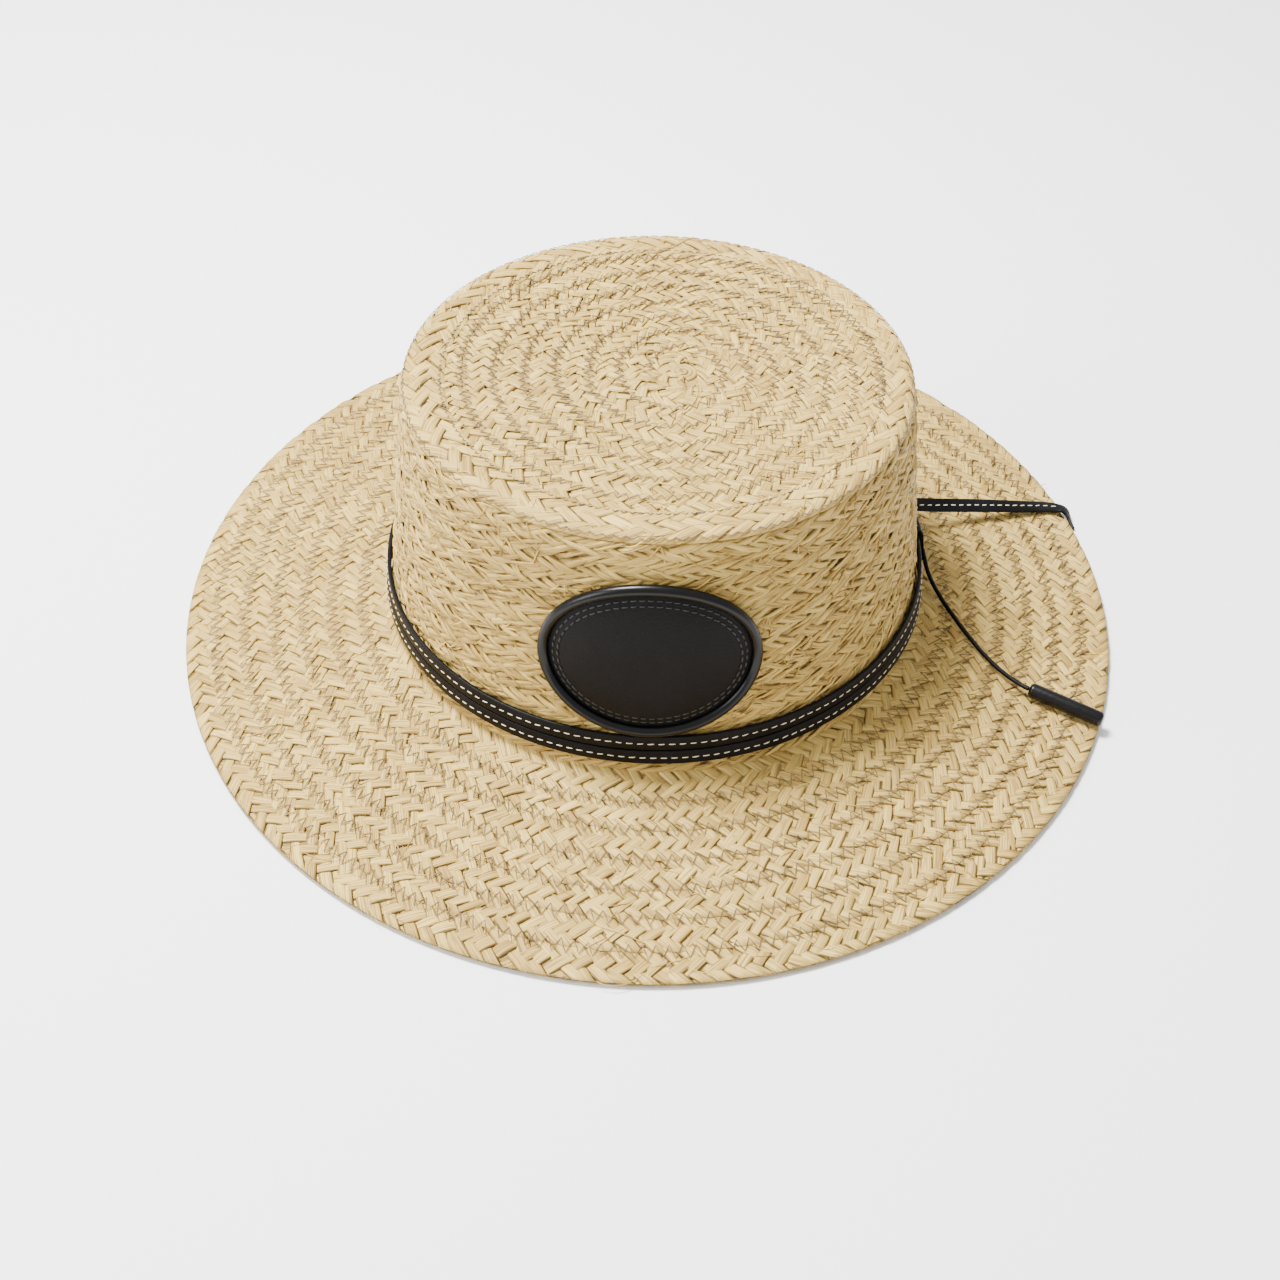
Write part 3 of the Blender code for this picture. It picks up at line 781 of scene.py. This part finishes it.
class HAT_OT_lace(bpy.types.Operator):
    """Add the thin lace and its leather tip"""
    bl_idname = "hat.lace"
    bl_label = "Lace"

    def execute(self, context):
        route = smooth_curve(CORD_ROUTE, 4) * 0.001
        leather = leather_finish("lace_leather", (0.0018, 0.0016, 0.0018))
        lace_data = bpy.data.curves.new("lace", "CURVE")
        lace_data.dimensions = "3D"
        lace_data.bevel_depth = CORD_DIAMETER / 2
        lace_data.bevel_resolution = 3
        lace_data.use_fill_caps = True
        spline = lace_data.splines.new("POLY")
        spline.points.add(len(route) - 1)
        for slot, point in zip(spline.points, route):
            slot.co = (*point, 1.0)
        lace_data.materials.append(leather)
        lace = bpy.data.objects.new("lace", lace_data)
        context.scene.collection.objects.link(lace)
        finish_piece(lace, "lace_leather", "lace_cord")
        tip = self.tip()
        finish_piece(tip, "lace_leather", "cord_tip")
        return {"FINISHED"}

    def tip(self):
        """The satin leather end: a rolled tube with a rounded mouth and a softly domed end."""
        deselect()
        start = Vector(CORD_ROUTE[-1]) * 0.001 + TIP_DIRECTION * GAP
        turn = TIP_DIRECTION.to_track_quat("Z", "Y")
        bpy.ops.mesh.primitive_cylinder_add(
            vertices=36, radius=TIP_DIAMETER / 2, depth=TIP_LENGTH, rotation=turn.to_euler(),
            location=start + TIP_DIRECTION * TIP_LENGTH / 2)
        tip = bpy.context.object
        bpy.ops.object.transform_apply(location=True, rotation=True, scale=True)
        apply_modifier(tip, "BEVEL", width=TIP_DIAMETER * 0.28, segments=6, limit_method="ANGLE")
        satin = leather_finish("tip_leather", (0.002, 0.0018, 0.002))
        smooth_faces(tip, "tip", satin, 50.0)
        return tip


class HAT_OT_brim(bpy.types.Operator):
    """Add the brim's plaited rows"""
    bl_idname = "hat.brim"
    bl_label = "Brim plait"

    def execute(self, context):
        sizes = context.scene.hat_straw
        plaits = [Bundle(), Bundle()]
        loose = Bundle()
        for row in range(BRIM_ROWS):
            strip = sizes.brim_strip * (1.12 if row == BRIM_ROWS - 1 else 1.0)
            place = brim_row(row, BRIM_LAP)
            plait(plaits[row // 4], place, ROUND, BRIM_PITCH + BRIM_LAP, 3, strip, sizes.brim_lean, 0.00026,
                  0.00030, 0.8, 100 + row)
            wisps(loose, place, ROUND, BRIM_PITCH, 90, 0.012, 0.00013, 0.00040, 120 + row)
        finish = raffia_finish("brim_raffia", tuple(sizes.pale), tuple(sizes.deep), tuple(sizes.shade))
        finish_piece(plaits[0].build("brim_plait_inner", finish), "raffia", "brim")
        finish_piece(plaits[1].build("brim_plait_outer", finish), "raffia", "brim")
        finish_piece(loose.build("brim_fibres", finish), "raffia")
        return {"FINISHED"}


class HAT_OT_wall(bpy.types.Operator):
    """Add the plaited rows of the crown's wall"""
    bl_idname = "hat.wall"
    bl_label = "Wall plait"

    def execute(self, context):
        sizes = context.scene.hat_straw
        plaits = [Bundle(), Bundle()]
        loose = Bundle()
        for row in range(WALL_ROWS):
            place = wall_row(row)
            plait(plaits[row // 6], place, ROUND, WALL_PITCH + WALL_LAP, 3, sizes.wall_strip,
                  sizes.wall_lean, 0.00042, 0.00052, 1.2, 200 + row)
            wisps(loose, place, ROUND, WALL_PITCH, 130, 0.010, 0.00022, 0.00085, 220 + row)
        finish = raffia_finish("wall_raffia", tuple(sizes.pale), tuple(sizes.deep), tuple(sizes.shade))
        finish_piece(plaits[0].build("wall_plait_lower", finish), "raffia", "crown")
        finish_piece(plaits[1].build("wall_plait_upper", finish), "raffia", "crown")
        finish_piece(loose.build("wall_fibres", finish), "raffia")
        return {"FINISHED"}


class HAT_OT_top(bpy.types.Operator):
    """Add the crown's spiral top and its rim row"""
    bl_idname = "hat.top"
    bl_label = "Top plait"

    def execute(self, context):
        sizes = context.scene.hat_straw
        bundle = Bundle()
        turns = (0.0, 2 * math.pi * (TOP_ROWS + 0.8))
        plait(bundle, spiral_row(TOP_LAP), turns, TOP_PITCH + TOP_LAP, 3, sizes.top_strip, sizes.top_lean,
              0.00022, 0.00026, 0.8, 300)
        wisps(bundle, spiral_row(0.0), turns, TOP_PITCH, 700, 0.010, 0.00012, 0.00034, 320)
        plait(bundle, rim_row, ROUND, RIM_ROW + 0.0010, 3, sizes.top_strip * 1.4, math.radians(31), 0.00032,
              0.00024, 0.6, 301)
        wisps(bundle, rim_row, ROUND, RIM_ROW, 90, 0.012, 0.00014, 0.0005, 321)
        coil = np.linspace(0.0, 1.0, 60)
        radius = 0.0042 * (1 - coil) ** 0.8
        turn = 5 * math.pi * coil + 5.0
        eye = top_place(0.0, CROWN_TOP[0], -0.0010)
        line = eye + np.stack([radius * np.cos(turn), radius * np.sin(turn), 0.0004 * coil], axis=-1)
        bundle.add(*tube(line, 0.0009 * (1 - 0.3 * coil), 7))
        finish = raffia_finish("top_raffia", tuple(sizes.pale), tuple(sizes.deep), tuple(sizes.shade))
        finish_piece(bundle.build("top_plait", finish), "raffia", "crown")
        return {"FINISHED"}


class HAT_OT_backing(bpy.types.Operator):
    """Add the thin sheet of painted shade that closes the gaps behind the strips"""
    bl_idname = "hat.backing"
    bl_label = "Backing"

    def execute(self, context):
        finish = gap_shade_finish()
        brim = Bundle()
        upper = []
        for row in range(BRIM_ROWS):
            place = brim_row(row, 0.0)
            last = row == BRIM_ROWS - 1
            stops = (0.0003, BRIM_PITCH - (0.0018 if last else 0.0003))
            for across in stops if row else (0.0003, 0.001, 0.0018, 0.003, 0.005, stops[1]):
                upper.append((place, across))
        self.sheet(brim, upper, -0.00005, -0.0003)
        finish_piece(brim.build("brim_gap_shade", finish), "raffia", "brim")
        crown = Bundle()
        outside = []
        for row in range(WALL_ROWS):
            place = wall_row(row)
            for share in (0.04, 0.35, 0.65, 0.96):
                outside.append((place, share * WALL_PITCH))
        for across in (0.0, 0.0015, 0.003, 0.0045, 0.006, 0.010, 0.0135):
            outside.append((rim_row, across))
        dish = 0.0010
        for number in range(14):
            inset = RIM_ROW + 0.0012 + number * (CROWN_TOP[0] - RIM_ROW - 0.0025) / 13
            outside.append((lambda angle, inset, lift: top_place(angle, inset, lift - dish), inset))
        self.sheet(crown, outside, -0.0001, -0.0004)
        finish_piece(crown.build("crown_gap_shade", finish), "raffia", "crown")
        return {"FINISHED"}

    def sheet(self, bundle, line, upper, lower):
        """A thin closed sheet turned round the hat: out along the line, then back along its inside."""
        both = [(place, at, upper) for place, at in line]
        both += [(place, at, lower) for place, at in reversed(line)]
        level_rings(bundle, both)


class HAT_OT_thread(bpy.types.Operator):
    """Add the zigzag sewing thread over the seams"""
    bl_idname = "hat.thread"
    bl_label = "Sewing thread"

    def execute(self, context):
        radius = context.scene.hat_straw.thread / 2
        bundle = Bundle()
        for row in range(BRIM_ROWS - 1):
            place = brim_row(row, 0.0)
            zigzag(bundle, place, ROUND, BRIM_PITCH, 0.0042, 0.0040, radius, (0.0008, 0.0007), 400 + row)
        finish = thread_finish("sewing_thread", (0.20, 0.13, 0.06), (0.12, 0.075, 0.035), 0.6)
        finish_piece(bundle.build("brim_thread", finish), "raffia")
        bundle = Bundle()
        spiral = (2 * math.pi * 0.96, 2 * math.pi * (TOP_ROWS + 0.5))
        zigzag(bundle, spiral_row(0.0), spiral, 0.0, 0.0030, 0.0036, radius, (0.0010, 0.0007), 420)
        zigzag(bundle, rim_row, ROUND, RIM_ROW - 0.0002, 0.0010, 0.0026, radius * 1.3, (0.0007, 0.0003), 421)
        zigzag(bundle, rim_row, ROUND, 0.0016, 0.0010, 0.0036, radius, (0.0006, 0.0007), 422)
        finish_piece(bundle.build("crown_thread", finish), "raffia")
        return {"FINISHED"}


class HAT_OT_strap(bpy.types.Operator):
    """Add the leather strap's two laps and their stitches"""
    bl_idname = "hat.strap"
    bl_label = "Strap"

    def execute(self, context):
        trim = context.scene.hat_trim
        leather = leather_finish("strap_leather", tuple(trim.leather))
        for number, node in enumerate(("band_lower", "band_upper")):
            deselect()
            bpy.ops.mesh.primitive_cylinder_add(vertices=240, radius=1.0, depth=1.0, end_fill_type="NOTHING")
            lap = context.object
            set_in_place(lap, lambda co, number=number: self.place(co, number))
            apply_modifier(lap, "SOLIDIFY", thickness=LAP_THICKNESS, offset=1.0)
            apply_modifier(lap, "BEVEL", width=0.00042, segments=3, limit_method="ANGLE")
            smooth_faces(lap, "strap_lap_" + ("lower", "upper")[number], leather, 40.0)
            finish_piece(lap, "strap_leather", node)
        finish = thread_finish("strap_stitch", tuple(trim.stitch), (0.55, 0.45, 0.30), 0.6)
        bundle = Bundle()
        for foot in LAP_FOOTS:
            self.stitches(bundle, foot + LAP_HEIGHT / 2, trim)
        finish_piece(bundle.build("strap_stitches", finish), "strap_leather")
        return {"FINISHED"}

    def place(self, co, number):
        """From a plain cylinder on to the crown's wall."""
        height = LAP_FOOTS[number] + (co.z + 0.5) * LAP_HEIGHT
        return wall_place(math.atan2(co.y, co.x), height, GAP)

    def stitches(self, bundle, height, trim):
        grid = np.linspace(0.0, 2 * math.pi, 2000)
        out = GAP + LAP_THICKNESS
        run = run_along(wall_place(grid, height, out))
        count = round(run[-1] / trim.stitch_pitch)
        angle = np.interp((np.arange(count) + 0.3) * run[-1] / count, run, grid)
        middle = wall_place(angle, height, out + 0.00003)
        along = unit(wall_place(angle + 0.001, height, out) - wall_place(angle - 0.001, height, out))
        outward = unit(wall_place(angle, height, out + 0.001) - wall_place(angle, height, out))
        add_stitches(bundle, middle, along, outward, trim.stitch_length, 0.00017, 500)


def add_stitches(bundle, middle, along, outward, length, radius, seed):
    """Short rounded stitches at these places, each a little askew."""
    rng = np.random.default_rng(seed)
    count = len(middle)
    over = np.cross(outward, along)
    along = unit(along + over * rng.normal(0.06, 0.05, count)[:, None])
    over = unit(np.cross(outward, along))
    shares = np.array(((-0.5, 0.35), (-0.38, 0.9), (0.0, 1.05), (0.38, 0.9), (0.5, 0.35)))
    turn = np.linspace(0.0, 2 * math.pi, 6, endpoint=False)
    length = length * rng.uniform(0.92, 1.08, count)[:, None, None, None]
    down = -0.0001 * (2 * np.abs(shares[:, 0])) ** 3
    centre = middle[:, None, None] + along[:, None, None] * shares[None, :, None, 0:1] * length
    centre = centre + outward[:, None, None] * down[None, :, None, None]
    ring = over[:, None, None] * np.cos(turn)[None, None, :, None] * 1.15
    ring = ring + outward[:, None, None] * np.sin(turn)[None, None, :, None] * 0.8
    points = centre + ring * radius * shares[None, :, None, 1:2]
    bundle.add(points.reshape(count, -1, 3), ring_faces(len(shares), 6))


class HAT_OT_keeper(bpy.types.Operator):
    """Add the leather wrap that holds the strap's ends"""
    bl_idname = "hat.keeper"
    bl_label = "Keeper"

    def execute(self, context):
        deselect()
        bpy.ops.mesh.primitive_grid_add(x_subdivisions=16, y_subdivisions=28, size=1.0)
        keeper = context.object
        set_in_place(keeper, self.place)
        apply_modifier(keeper, "SOLIDIFY", thickness=0.0012, offset=-1.0)
        apply_modifier(keeper, "BEVEL", width=0.00035, segments=3, limit_method="ANGLE")
        trim = context.scene.hat_trim
        leather = leather_finish("keeper_leather", tuple(trim.leather))
        smooth_faces(keeper, "keeper_wrap", leather, 40.0)
        finish_piece(keeper, "strap_leather", "keeper")
        return {"FINISHED"}

    def place(self, co):
        """From a flat sheet to a bulge over both laps whose upper and lower edges turn in to the wall."""
        share = co.y * 2
        angle = KEEPER_ANGLES[0] + (co.x + 0.5) * (KEEPER_ANGLES[1] - KEEPER_ANGLES[0])
        middle = sum(KEEPER_HEIGHTS) / 2
        half = (KEEPER_HEIGHTS[1] - KEEPER_HEIGHTS[0]) / 2
        turn = share * math.radians(104)
        height = middle + half * math.copysign(abs(math.sin(turn)) ** 0.5, turn)
        out = 0.0018 + 0.0016 * math.copysign(abs(math.cos(turn)) ** 0.6, math.cos(turn))
        return wall_place(math.radians(angle), height, max(out, GAP))


class HAT_OT_tail(bpy.types.Operator):
    """Add the strap's loose tail over the brim, with its stitches"""
    bl_idname = "hat.tail"
    bl_label = "Strap tail"

    def execute(self, context):
        trim = context.scene.hat_trim
        centres, across, face = self.frames()
        turn = np.linspace(0.0, 2 * math.pi, 16, endpoint=False)
        side = np.sign(np.cos(turn)) * np.abs(np.cos(turn)) ** 0.3
        lift = np.sign(np.sin(turn)) * np.abs(np.sin(turn)) ** 0.45
        ring = centres[:, None] + across[:, None] * side[None, :, None] + face[:, None] * lift[None, :, None]
        bundle = Bundle()
        bundle.add(ring.reshape(1, -1, 3), ring_faces(len(centres), 16))
        leather = leather_finish("tail_leather", tuple(trim.leather))
        tail = bundle.build("tail", leather, 60.0)
        finish_piece(tail, "strap_leather", "strap_tail")
        self.stitches(centres, face, trim)
        return {"FINISHED"}

    def rows(self):
        """The tail's centre line with its roll and width: by the upper lap, over the brim, past its edge."""
        out = GAP + LAP_THICKNESS + GAP + TAIL_THICKNESS / 2
        height = LAP_FOOTS[1] + LAP_HEIGHT / 2
        start = KEEPER_ANGLES[1] + math.degrees(GAP / CROWN_BASE[0])
        rows = []
        for share in (0.0, 0.5, 1.0):
            angle = math.radians(start + 5.0 * share)
            point = wall_place(angle, height, out + TAIL_THICKNESS * share * share)
            rows.append((*point, 90.0, 1.0))
        for values in TAIL_ROUTE:
            row = dict(zip(TAIL_COLUMNS, values))
            lean = abs(math.sin(math.radians(row["turn"]))) * TAIL_WIDTH * row["width"] / 2
            lift = row["lift"] * 0.001 + lean + TAIL_THICKNESS / 2
            point = brim_place(math.radians(row["angle"]), row["reach"], lift)
            rows.append((*point, row["turn"], row["width"]))
        return rows

    def frames(self):
        """Along the tail: its centre, and half its width and half its thickness as vectors."""
        line = smooth_curve(self.rows(), 8)
        centres = line[:, :3]
        along = unit(np.gradient(centres, axis=0))
        flat = unit(np.cross((0.0, 0.0, 1.0), along))
        normal = np.cross(along, flat)
        turn = np.radians(line[:, 3:4])
        across = (flat * np.cos(turn) + normal * np.sin(turn)) * TAIL_WIDTH / 2 * line[:, 4:5]
        face = (normal * np.cos(turn) - flat * np.sin(turn)) * TAIL_THICKNESS / 2
        return centres, across, face

    def stitches(self, centres, face, trim):
        run = run_along(centres)
        places = np.arange(0.003, run[-1] - 0.011, trim.stitch_pitch)
        middle = at_runs(places, run, centres + face * 1.06)
        outward = unit(at_runs(places, run, face))
        along = unit(np.gradient(middle, axis=0))
        bundle = Bundle()
        add_stitches(bundle, middle, along, outward, trim.stitch_length * 0.95, 0.00017, 520)
        finish = thread_finish("tail_stitch", tuple(trim.stitch), (0.55, 0.45, 0.30), 0.6)
        finish_piece(bundle.build("tail_stitches", finish), "strap_leather")


class HAT_OT_patch(bpy.types.Operator):
    """Add the plain padded leather patch with its rolled edge and stitches"""
    bl_idname = "hat.patch"
    bl_label = "Patch"

    def execute(self, context):
        trim = context.scene.hat_trim
        half = (PATCH_SIZE[0] / 2 - PATCH_BORDER, PATCH_SIZE[1] / 2 - PATCH_BORDER)
        deselect()
        bpy.ops.mesh.primitive_uv_sphere_add(segments=96, ring_count=48, radius=1.0)
        panel = context.object
        set_in_place(panel, lambda co: self.pad(co, half))
        leather = leather_finish("patch_leather", (0.0026, 0.0023, 0.0025))
        smooth_faces(panel, "patch_pad", leather, 60.0)
        finish_piece(panel, "patch_leather", "patch_panel")
        deselect()
        bpy.ops.mesh.primitive_torus_add(
            major_segments=180, minor_segments=16, major_radius=1.0, minor_radius=0.5)
        piping = context.object
        set_in_place(piping, self.roll)
        gloss = leather_finish("piping_leather", (0.0015, 0.0013, 0.0015))
        smooth_faces(piping, "patch_roll", gloss, 60.0)
        finish_piece(piping, "patch_leather", "patch_piping")
        bundle = Bundle()
        for number, inset in enumerate((0.0052, 0.0069)):
            self.stitches(bundle, inset, trim.patch_pitch, 540 + number)
        thread = thread_finish("patch_thread", (0.002, 0.002, 0.002), (0.012, 0.011, 0.012), 0.30)
        finish_piece(bundle.build("patch_stitches", thread), "patch_leather")
        return {"FINISHED"}

    def point(self, turn, half_width, half_height, out):
        height = PATCH_MIDDLE + half_height * math.sin(turn)
        bend = half_width * math.cos(turn) / CROWN_BASE[0]
        return wall_place(math.radians(PATCH_ANGLE) + bend, height, out)

    def pad(self, co, half):
        """From a ball to a padded panel: flat against the wall behind, crowned in front."""
        reach = min(math.hypot(co.x, co.y), 1.0)
        turn = math.atan2(co.y, co.x)
        spread = reach ** PAD_SPREAD
        rise = self.rise(reach) if co.z > 0 else 0.0
        if abs(co.z) < 1e-6:
            rise = PATCH_THICKNESS * 0.3
        return self.point(turn, half[0] * spread, half[1] * spread, GAP + rise)

    def rise(self, reach):
        """How high the pad's front stands, at a share of the way from its middle to its rim."""
        bulge = PATCH_THICKNESS * (1 - PAD_FOOT) + PAD_BULGE
        return PATCH_THICKNESS * PAD_FOOT + bulge * (1 - reach ** PAD_FLATNESS)

    def roll(self, co):
        """From a plain ring to a rolled edge round the panel."""
        turn = math.atan2(co.y, co.x)
        away = (math.hypot(co.x, co.y) - 1.0) * PIPING_DIAMETER
        out = GAP + PIPING_DIAMETER / 2 + co.z * PIPING_DIAMETER
        half_width = PATCH_SIZE[0] / 2 - PIPING_DIAMETER / 2 + away
        half_height = PATCH_SIZE[1] / 2 - PIPING_DIAMETER / 2 + away
        return self.point(turn, half_width, half_height, out)

    def stitches(self, bundle, inset, pitch, seed):
        spread = 1 - (inset - PATCH_BORDER) / (PATCH_SIZE[1] / 2 - PATCH_BORDER)
        out = GAP + self.rise(spread ** (1 / PAD_SPREAD))
        half = (PATCH_SIZE[0] / 2 - inset, PATCH_SIZE[1] / 2 - inset)
        outline = np.array([self.point(turn, *half, out) for turn in np.linspace(0.0, 2 * math.pi, 721)])
        run = run_along(outline)
        count = round(run[-1] / pitch)
        places = (np.arange(count) + 0.5) * run[-1] / count
        middle = at_runs(places, run, outline)
        along = unit(np.roll(middle, -1, axis=0) - np.roll(middle, 1, axis=0))
        outward = unit(middle - np.array((CROWN_SHIFT, 0.0, 0.0)) - middle * (0, 0, 1))
        add_stitches(bundle, middle, along, outward, pitch * 0.72, 0.00024, seed)


class HAT_PT_panel(bpy.types.Panel):
    """The hat's pieces, one button each"""
    bl_label = "Raffia Hat"
    bl_idname = "HAT_PT_panel"
    bl_space_type = "VIEW_3D"
    bl_region_type = "UI"
    bl_category = "Raffia Hat"

    def draw(self, context):
        for group in (context.scene.hat_straw, context.scene.hat_trim, context.scene.hat_stage):
            box = self.layout.box()
            for name in group.__annotations__:
                box.prop(group, name)
        for operator in PIECES:
            self.layout.operator(operator.bl_idname)


PIECES = (
    HAT_OT_stage,
    HAT_OT_lace,
    HAT_OT_brim,
    HAT_OT_wall,
    HAT_OT_top,
    HAT_OT_backing,
    HAT_OT_thread,
    HAT_OT_strap,
    HAT_OT_keeper,
    HAT_OT_tail,
    HAT_OT_patch,
)
CLASSES = (StrawSizes, TrimSizes, StageSizes, HAT_PT_panel) + PIECES


def register():
    for made in CLASSES:
        bpy.utils.register_class(made)
    bpy.types.Scene.hat_straw = bpy.props.PointerProperty(type=StrawSizes)
    bpy.types.Scene.hat_trim = bpy.props.PointerProperty(type=TrimSizes)
    bpy.types.Scene.hat_stage = bpy.props.PointerProperty(type=StageSizes)


def unregister():
    del bpy.types.Scene.hat_stage
    del bpy.types.Scene.hat_trim
    del bpy.types.Scene.hat_straw
    for made in reversed(CLASSES):
        bpy.utils.unregister_class(made)


def main():
    register()
    bpy.ops.hat.stage()
    bpy.ops.hat.lace()
    bpy.ops.hat.brim()
    bpy.ops.hat.wall()
    bpy.ops.hat.top()
    bpy.ops.hat.backing()
    bpy.ops.hat.thread()
    bpy.ops.hat.strap()
    bpy.ops.hat.keeper()
    bpy.ops.hat.tail()
    bpy.ops.hat.patch()


if __name__ == "__main__":
    main()
